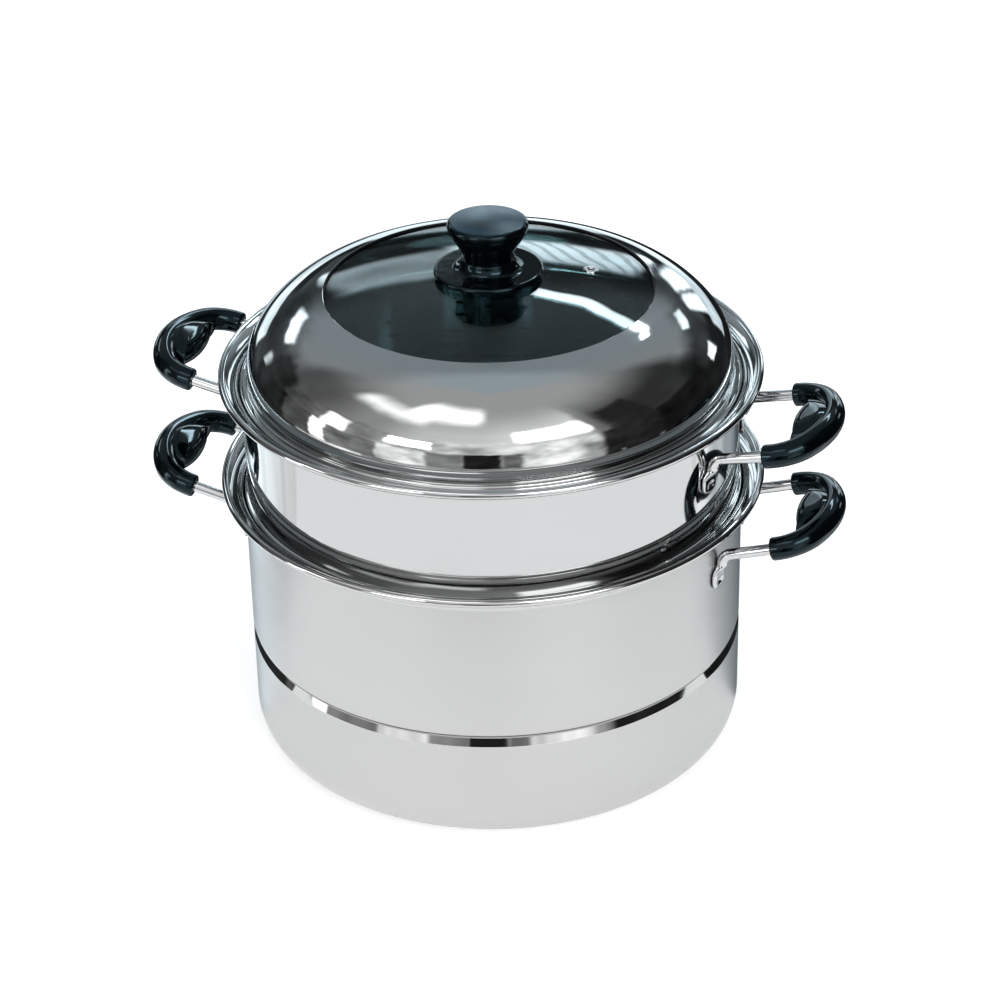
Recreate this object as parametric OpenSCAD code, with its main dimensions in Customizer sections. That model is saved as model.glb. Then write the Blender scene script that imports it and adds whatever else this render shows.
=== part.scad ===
// Steamer pot: a wide stock pot, a steamer tier that nests in its mouth,
// and a domed lid with a glass window and a knob. Lengths in mm, +Z up,
// origin at the centre of the pot's underside, handles along X.

/* [Sheet and rims] */

// Thickness of the pressed steel sheet
sheet_t = 0.8; // [0.5:0.1:1.2]
// Inside radius of the flare that opens each rim
flare_r = 14; // [11:0.1:18]
// How far round the flare the middle of the curl lies, in degrees
flare_sweep = 79; // [70:1:88]
// Outer radius of the rolled curl at each rim
curl_r = 2.5; // [2:0.1:3]
// How far the curl stands proud of the flare, which leaves a crease
curl_proud = 0.7; // [0.4:0.1:1.2]

/* [Pot] */

// Outer diameter of the pot's wall
pot_d = 318.4; // [280:1:360]
// Height of the straight wall, up to where the flare starts
pot_wall_h = 170.5; // [140:1:220]
// Radius of the corner between base and wall
base_corner_r = 24; // [14:1:34]
// Height at which the polished band starts to slope in from the wall
step_z = 73; // [50:1:95]
// How far the waist at the top of the band comes in
step_in = 1.7; // [1:0.1:2.5]
// Height of the polished band, up to the waist
step_band_h = 5.4; // [4:0.1:9]
// Height of the curve from the waist back out to the wall
step_ease_h = 4.1; // [3:0.1:8]

/* [Steamer tier] */

// Gap between the tier's wall and the pot's neck
tier_gap = 1.2; // [0.6:0.1:2]
// How far the loose tier stands turned in the pot, in degrees
tier_turn = -3.7; // [-8:0.1:8]
// Height of the tier's straight wall
tier_wall_h = 99; // [80:1:140]
// How far the tier reaches down below its seat
tier_drop = 32.6; // [24:0.2:50]
// Radius of the ridge pressed round the tier, which rests on the flare
ridge_r = 2; // [1.7:0.1:2.4]
// Radius of the corner at the foot of the tier
tier_corner_r = 8; // [5:1:14]
// Width of the flange that carries the perforated plate
plate_ledge_w = 9; // [5:1:15]
// Thickness of the perforated plate
plate_t = 0.8; // [0.5:0.1:1.5]
// Diameter of each steam hole
hole_d = 6; // [3:0.5:9]
// Step from one ring of holes to the next
hole_pitch = 21; // [16:1:23]
// Number of rings of holes round the centre hole
hole_rings = 6; // [3:1:6]

/* [Lid] */

// How far the lid's rolled edge lies inside the tier's wall radius
lid_edge_in = 0.3; // [0:0.1:1.5]
// Radius of the lid's rolled edge
lid_bead_r = 1.1; // [0.9:0.1:1.6]
// Width of the flange between the lid's wall and its rolled edge
lid_flange_w = 3.7; // [3:0.1:8]
// Height from the flange to the foot of the dome
lid_band_h = 8.4; // [6:0.1:14]
// How far the upright band lies inside the foot of the dome
band_in = 0.6; // [0.3:0.1:1.2]
// Height of the crease between the band and the dome
crease_h = 0.8; // [0.5:0.1:1.2]
// Radius of the dome's shoulder
shoulder_r = 40; // [34:1:46]
// How far the shoulder turns, in degrees
shoulder_sweep = 39; // [32:1:48]
// Radius of the clear window
window_r = 103; // [96:1:108]
// Thickness of the window glass
glass_t = 4; // [3:0.5:5]
// Radius of the sphere that the glass is bent to
glass_dome_r = 457; // [380:1:600]
// How far the glass reaches under the steel lip
glass_hold = 2.6; // [2:0.1:4]
// How far the steel lip reaches past the seal
lip_past = 0.6; // [0.3:0.1:1.2]
// Thickness of the seal round the glass
seal_t = 0.8; // [0.5:0.1:1.2]

/* [Knob] */

// Diameter of the knob's head
knob_d = 50.4; // [42:0.5:60]
// Diameter of the knob's neck
neck_d = 30.6; // [24:0.5:36]
// Radius of the hollow curve round the neck
neck_curve_r = 17; // [14:0.5:24]
// Diameter of the flange under the knob
flange_d = 68.4; // [58:0.5:80]
// Thickness of the flange at its rim
flange_t = 3.8; // [3:0.1:5]
// Diameter of the boss that carries the knob
boss_d = 33.6; // [31:0.2:38]
// Radius of the hollow curve that spreads the boss over the flange
boss_curve_r = 7.25; // [5:0.05:8]
// Height of the knob over its boss
knob_h = 25.4; // [24:0.2:32]
// Thickness of the knob's head at its rim
head_rim_h = 3.2; // [2:0.1:5]
// Radius of the edge round the top of the head
head_edge_r = 3.6; // [2:0.1:5]
// Rise of the crowned top
head_crown = 1.2; // [0.5:0.1:2]
// Thickness of each soft pad against the glass
pad_t = 1.4; // [0.8:0.1:2]
// Diameter of the steel washer under the glass
washer_d = 26; // [20:1:34]
// Thickness of the steel washer
washer_t = 1.2; // [0.8:0.1:2]
// Diameter of the knob screw
screw_d = 5; // [4:0.5:6]
// Length of the screw inside the knob's insert
screw_grip = 10; // [7:0.5:14]
// Outer diameter of the threaded insert
insert_d = 9; // [8:0.5:12]
// Diameter of the screw's head
screw_head_d = 10; // [8:0.5:13]
// Height of the screw's head
screw_head_h = 3; // [2:0.1:4]

/* [Handles] */

// Diameter of the handle rod
wire_d = 7; // [5:0.5:8]
// Distance between the two arms of a handle, centre to centre
arm_span = 84; // [70:0.5:100]
// How far the pot's handles tilt up, in degrees
pot_tilt = 15; // [0:0.5:20]
// How far the tier's handles tilt up, in degrees
tier_tilt = 12; // [0:0.5:20]
// How far the rod meets the wall below the flare
root_drop = 10.2; // [7:0.2:16]
// Radius of the bend at the foot of each arm
root_bend_r = 7; // [5:0.5:12]
// Width of the flattened weld pad
pad_w = 16; // [12:0.5:20]
// Length of the weld pad below the bend
pad_h = 17; // [15:0.5:26]
// Thickness of the weld pad
pad_metal_t = 2.6; // [2:0.1:4]
// Depth of the dimple left by the spot weld
weld_dimple = 0.6; // [0.3:0.1:1]
// Distance from the wall to the ends of the grip
grip_start = 29.5; // [24:0.5:40]
// Straight length at each end of the grip
grip_straight = 3; // [2:0.5:8]
// Depth of the bend, from its start to its middle
grip_depth = 30; // [27:0.5:36]
// Radius of each corner of the bend
grip_corner_r = 25; // [22:0.5:26.5]
// Thickness of the grip at its ends
grip_d = 14.6; // [12:0.2:18]
// Extra width on the inner side at the middle
grip_inner_grow = 0.8; // [0:0.1:6]
// Extra height above and below at the middle
grip_rise = 0.9; // [0:0.1:2]
// Chamfer round the ends of the grip
grip_chamfer = 1.2; // [0.6:0.1:2]
// Radius of the round outline of the finger leaf
leaf_r = 24.6; // [20:0.2:26]
// How far the centre of that outline lies outside the leaf's inner edge
leaf_back = 1; // [0:0.2:3]
// Distance from the grip's ends out to the leaf's inner edge
leaf_start = 10; // [8:0.2:16]
// Radius of the leaf's inner edge
leaf_edge_r = 85; // [50:1:200]
// Thickness of the leaf along its middle
leaf_t = 12.4; // [7:0.2:13.4]
// Radius of the crown across the leaf
leaf_crown_r = 16; // [14:0.5:40]
// Distance from the leaf's inner edge to its thickest line
leaf_crest = 13.5; // [10:0.5:18]

/* [Fits] */

// Gap left between curved faces that rest on each other
seat_gap = 0.3; // [0.1:0.05:0.5]

/* [Hidden] */

$fn = 96;
fine = 4 * $fn;
slack = 1;
lap = 0.01;
pad_bulge = 0.25;

steel = "silver";
phenolic = "#111214";
silicone = "#3a3d40";

pot_r = pot_d / 2;
flare_top_r = flare_r + sheet_t;
curl_reach = flare_top_r - curl_r + curl_proud;
curl_from = -175;
curl_to = 165;
crease_turn = acos((pow(flare_top_r, 2) + pow(curl_reach, 2)
    - pow(curl_r, 2)) / (2 * flare_top_r * curl_reach));

waist_z = step_z + step_band_h;
step_top_z = waist_z + step_ease_h;
ease_knee = [0.35 * step_in, 0.5 * step_ease_h];

tier_r = pot_r - sheet_t - tier_gap;
tier_seat_z = pot_wall_h + seatRise(pot_r, tier_r, ridge_r);
tier_z = tier_seat_z - tier_drop;
tier_neck_z = tier_z + tier_wall_h;
plate_z = tier_z + sheet_t;
plate_r = tier_r - tier_corner_r - seat_gap;

lid_bead_x = tier_r - lid_edge_in;
lid_seat_z = tier_neck_z + seatRise(tier_r, lid_bead_x, lid_bead_r);
lid_r = lid_bead_x - lid_flange_w;
lid_flange_z = lid_seat_z + lid_bead_r - sheet_t;
lid_fillet = 1.6;
band_r = lid_r - band_in;
band_z = lid_flange_z + sheet_t + lid_fillet;
dome_z = lid_flange_z + lid_band_h;
crease_z = dome_z - 2 * crease_h;

glass_edge_r = window_r + glass_hold;
seal_outer_r = glass_edge_r + seal_t;
lip_r = seal_outer_r + sheet_t;
lip_sphere_r = glass_dome_r + seal_t + sheet_t;
shoulder_x = lid_r - shoulder_r;
crown_end = acos(lip_r / lip_sphere_r);
crown_r = (shoulder_x + shoulder_r * cos(shoulder_sweep) - lip_r)
    / (cos(shoulder_sweep) - cos(crown_end));
crown_x = shoulder_x + (shoulder_r - crown_r) * cos(shoulder_sweep);
crown_z = dome_z + (shoulder_r - crown_r) * sin(shoulder_sweep);
lip_z = crown_z + crown_r * sin(crown_end);
crown_lap = 0.3;

glass_c = lip_z - sqrt(pow(lip_sphere_r, 2) - pow(lip_r, 2));
glass_top = glass_c + glass_dome_r;
glass_hole_r = screw_d / 2 + 1;

flange_r = flange_d / 2;
flange_low_z = glass_c + sqrt(pow(glass_dome_r + pad_t, 2)
    - pow(flange_r, 2));
flange_top_z = flange_low_z + flange_t;
boss_toe = 15;
boss_z = flange_top_z + boss_curve_r * cos(boss_toe);
knob_top_z = boss_z + knob_h;
head_r = knob_d / 2;
neck_r = neck_d / 2;
head_low_z = knob_top_z - head_crown - head_edge_r - head_rim_h;
neck_z = head_low_z - sqrt(pow(neck_curve_r, 2)
    - pow(neck_r + neck_curve_r - head_r, 2));
washer_z = glassZ(glass_dome_r - glass_t, washer_d / 2) - pad_t - washer_t;
insert_h = screw_grip + slack;

wire_r = wire_d / 2;
arm_y = arm_span / 2;
bend_s = grip_start + grip_straight;
corner_y = arm_y - grip_corner_r;
depth_left = grip_depth - grip_corner_r;
mid_back = (pow(corner_y, 2) - pow(depth_left, 2)) / (2 * depth_left);
mid_r = grip_depth + mid_back;
mid_sweep = atan2(corner_y, mid_back);
grip_r = grip_d / 2;
grip_step = 7.5;
grip_sides = 24;

// Height over the neck at which a round edge rests in a rim's flare
function seatRise(wall_r, edge_x, edge_r) =
    sqrt(pow(flare_top_r + seat_gap + edge_r, 2)
        - pow(wall_r + flare_r - edge_x, 2));

// A length rounded so that both ends of a straight meet their bends
function wholeMicrons(x) = round(1000 * x) / 1000;

// Height of a sphere round the glass's centre, at one radius
function glassZ(sphere_r, x) = glass_c + sqrt(sphere_r * sphere_r - x * x);

// Centre line of the bend in the handle's own plane, by outward heading
function bendPoint(a) = abs(a) <= mid_sweep
    ? [bend_s - mid_back + mid_r * cos(a), mid_r * sin(a)]
    : [bend_s + grip_corner_r * cos(a),
        sign(a) * corner_y + grip_corner_r * sin(a)];

// One oval section of the grip, square to its centre line
function gripRing(a, shift, size) = let (
        p = bendPoint(a) + [-shift, 0],
        grow = pow(cos(a), 2),
        high = (grip_r + grip_rise * grow) * size
    ) [for (i = [0 : grip_sides - 1]) let (
        turn = 360 * i / grip_sides,
        wide = (cos(turn) > 0 ? grip_r
            : grip_r + grip_inner_grow * grow) * size,
        out = wide * cos(turn)
    ) [p[0] + out * cos(a), p[1] + out * sin(a), high * sin(turn)]];

// Closed loft through rings that all have the same number of points
module loft(rings) {
    n = len(rings[0]);
    last = len(rings) - 1;
    points = [for (ring = rings, p = ring) p];
    sides = [for (k = [0 : last - 1], i = [0 : n - 1]) let (
        j = (i + 1) % n
    ) each [[k * n + i, k * n + j, (k + 1) * n + j],
            [k * n + i, (k + 1) * n + j, (k + 1) * n + i]]];
    low = [for (i = [n - 1 : -1 : 0]) i];
    high = [for (i = [0 : n - 1]) last * n + i];
    polyhedron(points, concat(sides, [low, high]), convexity = 6);
}

// Part of a round band between two angles, in a profile
module bandArc(x, z, r_in, r_out, from, to) {
    reach = 2 * r_out;
    translate([x, z]) intersection() {
        difference() {
            circle(r_out, $fn = fine);
            circle(r_in, $fn = fine);
        }
        polygon(concat([[0, 0]], [for (k = [0 : 4]) let (
            a = from + (to - from) * k / 4
        ) reach * [cos(a), sin(a)]]));
    }
}

// Upright run of sheet in a profile
module sheetWall(r_out, z_low, z_high) {
    translate([r_out - sheet_t, z_low]) square([sheet_t, z_high - z_low]);
}

// Flared rim with its open rolled curl, in a profile
module rimProfile(wall_r, neck_z) {
    x = wall_r + flare_r;
    bandArc(x, neck_z, flare_r, flare_top_r,
        180 - flare_sweep + crease_turn, 180);
    bandArc(x - curl_reach * cos(flare_sweep),
        neck_z + curl_reach * sin(flare_sweep),
        curl_r - sheet_t, curl_r, curl_from, curl_to);
}

// One face of the pressed step, as a line in the wall's profile
function stepLine(wall_r) = [
    [wall_r, step_z],
    [wall_r - step_in, waist_z],
    [wall_r - ease_knee[0], waist_z + ease_knee[1]],
    [wall_r, step_top_z]];

// Pressed step in the pot's wall: a sloping band under a waist
module stepProfile() {
    inside = stepLine(pot_r - sheet_t);
    polygon(concat(stepLine(pot_r),
        [for (i = [len(inside) - 1 : -1 : 0]) inside[i]]));
}

module pot_shell() {
    color(steel) rotate_extrude() {
        square([pot_r - base_corner_r, sheet_t]);
        bandArc(pot_r - base_corner_r, base_corner_r,
            base_corner_r - sheet_t, base_corner_r, -90, 0);
        sheetWall(pot_r, base_corner_r, step_z + lap);
        stepProfile();
        sheetWall(pot_r, step_top_z - lap, pot_wall_h);
        rimProfile(pot_r, pot_wall_h);
    }
}

module tier_wall() {
    color(steel) rotate_extrude() {
        translate([tier_r - tier_corner_r - plate_ledge_w, tier_z])
            square([plate_ledge_w, sheet_t]);
        bandArc(tier_r - tier_corner_r, tier_z + tier_corner_r,
            tier_corner_r - sheet_t, tier_corner_r, -90, 0);
        sheetWall(tier_r, tier_z + tier_corner_r,
            tier_seat_z - ridge_r + sheet_t);
        bandArc(tier_r, tier_seat_z, ridge_r - sheet_t, ridge_r, -95, 95);
        sheetWall(tier_r, tier_seat_z + ridge_r - sheet_t, tier_neck_z);
        rimProfile(tier_r, tier_neck_z);
    }
}

// Rings of steam holes, each ring with six more than the one inside it
module steamHoles() {
    circle(d = hole_d, $fn = 24);
    for (ring = [1 : hole_rings], i = [0 : 6 * ring - 1])
        rotate(60 * i / ring) translate([ring * hole_pitch, 0])
            circle(d = hole_d, $fn = 24);
}

module tier_plate() {
    color(steel) translate([0, 0, plate_z])
        linear_extrude(plate_t) difference() {
            circle(plate_r, $fn = fine);
            steamHoles();
        }
}

// Bent handle rod in its own plane: two arms, two corners and a bar
module rodBend(arm_from) {
    for (side = [0, 1]) mirror([0, side, 0]) {
        translate([arm_from, arm_y, 0]) rotate([0, 90, 0])
            cylinder(r = wire_r, h = bend_s - arm_from, $fn = 48);
        translate([bend_s, corner_y, 0]) rotate_extrude(angle = 90)
            translate([grip_corner_r, 0]) circle(wire_r, $fn = 48);
    }
    translate([bend_s + grip_corner_r, corner_y, 0]) rotate([90, 0, 0])
        cylinder(r = wire_r, h = 2 * corner_y, $fn = 48);
}

// Carries a handle piece from its own plane to the wall
module atHandle(wall_r, neck_z, tilt) {
    translate([wall_r, 0, neck_z - root_drop])
        rotate([0, -tilt, 0]) children();
}

// Handle rod with its two flattened feet spot welded to the wall
module handleWire(wall_r, neck_z, tilt) {
    rod_x = sqrt(pow(wall_r + wire_r, 2) - pow(arm_y, 2));
    bend_x = rod_x + root_bend_r;
    arm_z = neck_z - root_drop + (bend_x - wall_r) * tan(tilt);
    bend_z = arm_z - root_bend_r / cos(tilt);
    turn = asin(arm_y / (wall_r + wire_r));
    arm_s = wholeMicrons((bend_x - wall_r) / cos(tilt)
        - root_bend_r * tan(tilt));
    atHandle(wall_r, neck_z, tilt) {
        rodBend(arm_s);
        for (side = [0, 1]) mirror([0, side, 0])
            translate([arm_s, arm_y, -root_bend_r]) rotate([90, 0, 0])
                rotate(90) rotate_extrude(angle = 90 - tilt)
                    translate([root_bend_r, 0]) circle(wire_r, $fn = 48);
    }
    for (side = [-1, 1]) difference() {
        union() {
            translate([rod_x, side * arm_y, bend_z - wire_r])
                cylinder(r = wire_r + pad_bulge, h = wire_r + pad_bulge,
                    $fn = 48);
            rotate(side * turn) weldPad(wall_r, bend_z);
        }
        translate([0, 0, bend_z - 2 * pad_h])
            cylinder(r = wall_r, h = 3 * pad_h, $fn = fine);
    }
}

// Flattened end of the rod, with the dimple of its spot weld
module weldPad(wall_r, bend_z) {
    half = pad_w / 2;
    top_z = bend_z - wire_r / 2;
    translate([wall_r - slack, 0, 0]) rotate([90, 0, 90]) difference() {
        linear_extrude(slack + pad_metal_t) {
            translate([-half, top_z - pad_h + half])
                square([pad_w, pad_h - half - half / 2]);
            translate([0, top_z - pad_h + half]) circle(half, $fn = 48);
            translate([0, top_z - half / 2]) intersection() {
                circle(half, $fn = 48);
                translate([-half, 0]) square([pad_w, half]);
            }
        }
        translate([0, top_z - pad_h / 2 - half / 3,
                slack + pad_metal_t + half - weld_dimple])
            sphere(half, $fn = 48);
    }
}

// One of the two crowned faces of the finger leaf
module leafCrown(side) {
    translate([grip_start + leaf_start + leaf_crest, leaf_r + slack,
            side * (leaf_t / 2 - leaf_crown_r)])
        rotate([90, 0, 0]) cylinder(r = leaf_crown_r,
            h = 2 * (leaf_r + slack), $fn = fine);
}

// Finger leaf: a round outline between two crowned faces
module leaf() {
    inner_s = grip_start + leaf_start;
    intersection() {
        translate([0, 0, -leaf_t]) linear_extrude(2 * leaf_t)
            intersection() {
                translate([inner_s - leaf_back, 0])
                    circle(leaf_r, $fn = fine);
                translate([inner_s + leaf_edge_r, 0])
                    circle(leaf_edge_r, $fn = fine);
            }
        leafCrown(1);
        leafCrown(-1);
    }
}

// Moulded grip: a lofted crescent and its leaf, round the rod's own bore
module handleGrip(wall_r, neck_z, tilt) {
    ends = 1 - grip_chamfer / grip_r;
    arcs = [for (a = [-90 : grip_step : 90]) a];
    rings = concat(
        [gripRing(-90, grip_straight, ends),
         gripRing(-90, grip_straight - grip_chamfer, 1)],
        [for (a = arcs) gripRing(a, 0, 1)],
        [gripRing(90, grip_straight - grip_chamfer, 1),
         gripRing(90, grip_straight, ends)]);
    atHandle(wall_r, neck_z, tilt) difference() {
        union() {
            loft(rings);
            leaf();
        }
        rodBend(grip_start - slack);
    }
}

module pot_wire_right() {
    color(steel) handleWire(pot_r, pot_wall_h, pot_tilt);
}

module pot_wire_left() { rotate(180) pot_wire_right(); }

module pot_grip_right() {
    color(phenolic) handleGrip(pot_r, pot_wall_h, pot_tilt);
}

module pot_grip_left() { rotate(180) pot_grip_right(); }

module tier_wire_right() {
    color(steel) rotate(tier_turn)
        handleWire(tier_r, tier_neck_z, tier_tilt);
}

module tier_wire_left() { rotate(180) tier_wire_right(); }

module tier_grip_right() {
    color(phenolic) rotate(tier_turn)
        handleGrip(tier_r, tier_neck_z, tier_tilt);
}

module tier_grip_left() { rotate(180) tier_grip_right(); }

// Profile between two spheres round the glass's centre
module glassBand(x_in, x_out, low_r, high_r) {
    intersection() {
        translate([0, glass_c]) difference() {
            circle(high_r, $fn = 4 * fine);
            circle(low_r, $fn = 4 * fine);
        }
        translate([x_in, glassZ(low_r, x_out) - slack])
            square([x_out - x_in, 2 * slack + glassZ(high_r, x_in)
                - glassZ(low_r, x_out)]);
    }
}

// Crease where the upright band steps out to the foot of the dome
module lidCrease() {
    polygon([[band_r, crease_z], [lid_r, crease_z + crease_h],
        [lid_r - sheet_t, crease_z + crease_h + sheet_t / 2],
        [band_r - sheet_t, crease_z + sheet_t / 2]]);
}

// Channel in the dome's lip that grips the seal and the glass
module lipProfile() {
    low_r = glass_dome_r - glass_t - seal_t;
    glassBand(seal_outer_r, lip_r, low_r - sheet_t, lip_sphere_r);
    glassBand(window_r, lip_r, lip_sphere_r - sheet_t, lip_sphere_r);
    glassBand(window_r + lip_past, lip_r, low_r - sheet_t, low_r);
}

module lid_dome() {
    color(steel) rotate_extrude() {
        translate([lid_bead_x, lid_seat_z]) circle(lid_bead_r);
        translate([band_r + lid_fillet, lid_flange_z])
            square([lid_bead_x - band_r - lid_fillet, sheet_t]);
        bandArc(band_r + lid_fillet, band_z, lid_fillet,
            lid_fillet + sheet_t, 180, 270);
        sheetWall(band_r, band_z, crease_z + sheet_t / 2);
        lidCrease();
        sheetWall(lid_r, crease_z + crease_h, dome_z);
        bandArc(shoulder_x, dome_z, shoulder_r - sheet_t, shoulder_r,
            0, shoulder_sweep);
        bandArc(crown_x, crown_z, crown_r - sheet_t, crown_r,
            shoulder_sweep, crown_end + crown_lap);
        lipProfile();
    }
}

module lid_glass() {
    color("lightblue", 0.4) rotate_extrude()
        glassBand(glass_hole_r, glass_edge_r,
            glass_dome_r - glass_t, glass_dome_r);
}

module glass_seal() {
    color(silicone) rotate_extrude() {
        glassBand(glass_edge_r, seal_outer_r,
            glass_dome_r - glass_t - seal_t, glass_dome_r + seal_t);
        glassBand(window_r + lip_past, glass_edge_r,
            glass_dome_r, glass_dome_r + seal_t);
        glassBand(window_r + lip_past, glass_edge_r,
            glass_dome_r - glass_t - seal_t, glass_dome_r - glass_t);
    }
}

module knob_pad_upper() {
    color(silicone) rotate_extrude()
        glassBand(glass_hole_r, boss_d / 2,
            glass_dome_r, glass_dome_r + pad_t);
}

module knob_pad_lower() {
    color(silicone) translate([0, 0, washer_z + washer_t]) difference() {
        cylinder(d = washer_d, h = pad_t);
        translate([0, 0, -slack])
            cylinder(d = screw_d, h = pad_t + 2 * slack);
    }
}

module knob_washer() {
    color(steel) translate([0, 0, washer_z]) difference() {
        cylinder(d = washer_d, h = washer_t);
        translate([0, 0, -slack])
            cylinder(d = screw_d, h = washer_t + 2 * slack);
    }
}

module knob_screw() {
    color(steel) difference() {
        union() {
            translate([0, 0, washer_z - screw_head_h])
                cylinder(d = screw_head_d, h = screw_head_h);
            translate([0, 0, washer_z - slack])
                cylinder(d = screw_d,
                    h = boss_z + screw_grip - washer_z + slack);
        }
        translate([-screw_head_d, -screw_d / 8,
                washer_z - screw_head_h - slack])
            cube([2 * screw_head_d, screw_d / 4,
                slack + screw_head_h / 2]);
    }
}

module knob_insert() {
    color("goldenrod") translate([0, 0, boss_z]) difference() {
        cylinder(d = insert_d, h = insert_h);
        translate([0, 0, -slack])
            cylinder(d = screw_d, h = insert_h + 2 * slack);
    }
}

// Heat guard: a thin disc that follows the glass and rises to a boss
module knob_flange() {
    edge = flange_t / 2;
    color(phenolic) rotate_extrude() difference() {
        union() {
            translate([flange_r - edge, flange_top_z - edge])
                circle(edge, $fn = 48);
            translate([screw_d / 2, flange_low_z])
                square([flange_r - edge - screw_d / 2, flange_t]);
            difference() {
                translate([screw_d / 2, flange_low_z + slack])
                    square([boss_d / 2 + boss_curve_r - screw_d / 2,
                        boss_z - flange_low_z - slack]);
                translate([boss_d / 2 + boss_curve_r, boss_z])
                    circle(boss_curve_r, $fn = fine);
            }
        }
        translate([0, glass_c]) circle(glass_dome_r + pad_t,
            $fn = 4 * fine);
    }
}

// Knob: hollow-curved neck under a wide head with a crowned top
module knob_head() {
    edge_z = knob_top_z - head_crown - head_edge_r;
    crown = (pow(head_r - head_edge_r, 2) + pow(head_crown, 2))
        / (2 * head_crown);
    color(phenolic) rotate_extrude() difference() {
        union() {
            difference() {
                translate([0, boss_z]) square([head_r, edge_z - boss_z]);
                translate([neck_r + neck_curve_r, neck_z])
                    circle(neck_curve_r, $fn = fine);
                translate([neck_r + neck_curve_r, boss_z - slack])
                    square([neck_curve_r, head_low_z - boss_z + slack]);
            }
            translate([0, edge_z - slack])
                square([head_r - head_edge_r, head_edge_r + slack]);
            translate([head_r - head_edge_r, edge_z])
                circle(head_edge_r);
            intersection() {
                translate([0, knob_top_z - crown])
                    circle(crown, $fn = 4 * fine);
                translate([0, knob_top_z - 2 * head_crown])
                    square([head_r - head_edge_r, 2 * head_crown]);
            }
        }
        translate([-slack, boss_z - slack])
            square([slack + insert_d / 2, slack + insert_h]);
        translate([-slack, boss_z - slack])
            square([slack, knob_h + 2 * slack]);
    }
}

pot_shell();
pot_wire_left();
pot_wire_right();
pot_grip_left();
pot_grip_right();
tier_wall();
tier_plate();
tier_wire_left();
tier_wire_right();
tier_grip_left();
tier_grip_right();
lid_dome();
lid_glass();
glass_seal();
knob_flange();
knob_head();
knob_insert();
knob_screw();
knob_washer();
knob_pad_upper();
knob_pad_lower();
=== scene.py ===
import math

import bmesh
import bpy
from mathutils import Matrix, Vector


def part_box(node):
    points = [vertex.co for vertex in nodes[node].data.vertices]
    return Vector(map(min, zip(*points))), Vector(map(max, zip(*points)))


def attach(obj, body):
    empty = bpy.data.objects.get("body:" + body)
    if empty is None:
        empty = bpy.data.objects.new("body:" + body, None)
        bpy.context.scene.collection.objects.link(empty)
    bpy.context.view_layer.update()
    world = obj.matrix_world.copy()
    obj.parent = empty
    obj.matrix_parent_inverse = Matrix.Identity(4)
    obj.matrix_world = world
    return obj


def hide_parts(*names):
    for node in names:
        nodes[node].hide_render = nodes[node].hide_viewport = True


# Steamer pot: pot, steamer tier and domed lid, dressed for the photograph.
# Sizes in the dictionaries are in millimetres, heights come from the frame.

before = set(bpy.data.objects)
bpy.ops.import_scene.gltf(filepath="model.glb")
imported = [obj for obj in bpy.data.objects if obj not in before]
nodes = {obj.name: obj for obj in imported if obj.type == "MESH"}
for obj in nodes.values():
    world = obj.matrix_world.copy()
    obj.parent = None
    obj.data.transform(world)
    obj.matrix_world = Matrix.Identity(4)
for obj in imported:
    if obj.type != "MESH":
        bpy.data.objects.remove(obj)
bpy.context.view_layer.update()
mm = 0.001
around = 256  # steps round a spun part


def topOf(node):
    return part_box(node)[1].z / mm


def bottomOf(node):
    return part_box(node)[0].z / mm


def hexToLinear(code):
    values = [int(code[i:i + 2], 16) / 255 for i in (1, 3, 5)]
    linear = [v / 12.92 if v <= 0.04045 else ((v + 0.055) / 1.055) ** 2.4 for v in values]
    return (*linear, 1)


def perMetre(size):
    # how often a pattern of this size in millimetres repeats in a metre
    return 1 / (size * mm)


def addNode(tree, kind, settings=None, links=None):
    # inputs are named with a capital or a number, properties without
    node = tree.nodes.new("ShaderNode" + kind)
    for key, value in (settings or {}).items():
        if isinstance(key, int) or key[0].isupper():
            node.inputs[key].default_value = value
        else:
            setattr(node, key, value)
    for key, socket in (links or {}).items():
        tree.links.new(socket, node.inputs[key])
    return node


def newSurface(name, settings):
    material = bpy.data.materials.new(name)
    material.use_nodes = True
    tree = material.node_tree
    tree.nodes.clear()
    shader = addNode(tree, "BsdfPrincipled", settings)
    output = tree.nodes.new("ShaderNodeOutputMaterial")
    tree.links.new(shader.outputs[0], output.inputs[0])
    place = addNode(tree, "TexCoord").outputs["Object"]
    return material, tree, shader, place


def arc(x, z, radius, start, end, step=5):
    count = max(2, math.ceil(abs(end - start) / step))
    angles = [math.radians(start + (end - start) * i / count) for i in range(count + 1)]
    return [(x + radius * math.cos(a), z + radius * math.sin(a)) for a in angles]


def straight(start, end, hold=0.7):
    # a ring close to each end keeps the flat part flat when it is shaded
    length = math.dist(start, end)
    if length < 4 * hold:
        return [start, end]
    stops = [0, hold / length, 1 - hold / length, 1]
    return [tuple(p + (q - p) * t for p, q in zip(start, end)) for t in stops]


def chain(*runs):
    points = []
    for point in [p for run in runs for p in run]:
        if not points or math.dist(points[-1], point) > 0.004:  # else it is the same point
            points.append(point)
    if math.dist(points[0], points[-1]) < 0.004:
        points.pop()
    return points


def smoothStep(t):
    t = min(1, max(0, t))
    return t * t * (3 - 2 * t)


def meshPiece(name, points, faces, material, sharpAngle=38):
    mesh = bpy.data.meshes.new(name)
    mesh.from_pydata([[c * mm for c in p] for p in points], [], faces)
    work = bmesh.new()
    work.from_mesh(mesh)
    bmesh.ops.recalc_face_normals(work, faces=work.faces)
    for face in work.faces:
        face.smooth = True
    work.to_mesh(mesh)
    work.free()
    mesh.set_sharp_from_angle(angle=math.radians(sharpAngle))
    mesh.materials.append(material)
    piece = bpy.data.objects.new(name, mesh)
    bpy.context.scene.collection.objects.link(piece)
    return piece


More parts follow.
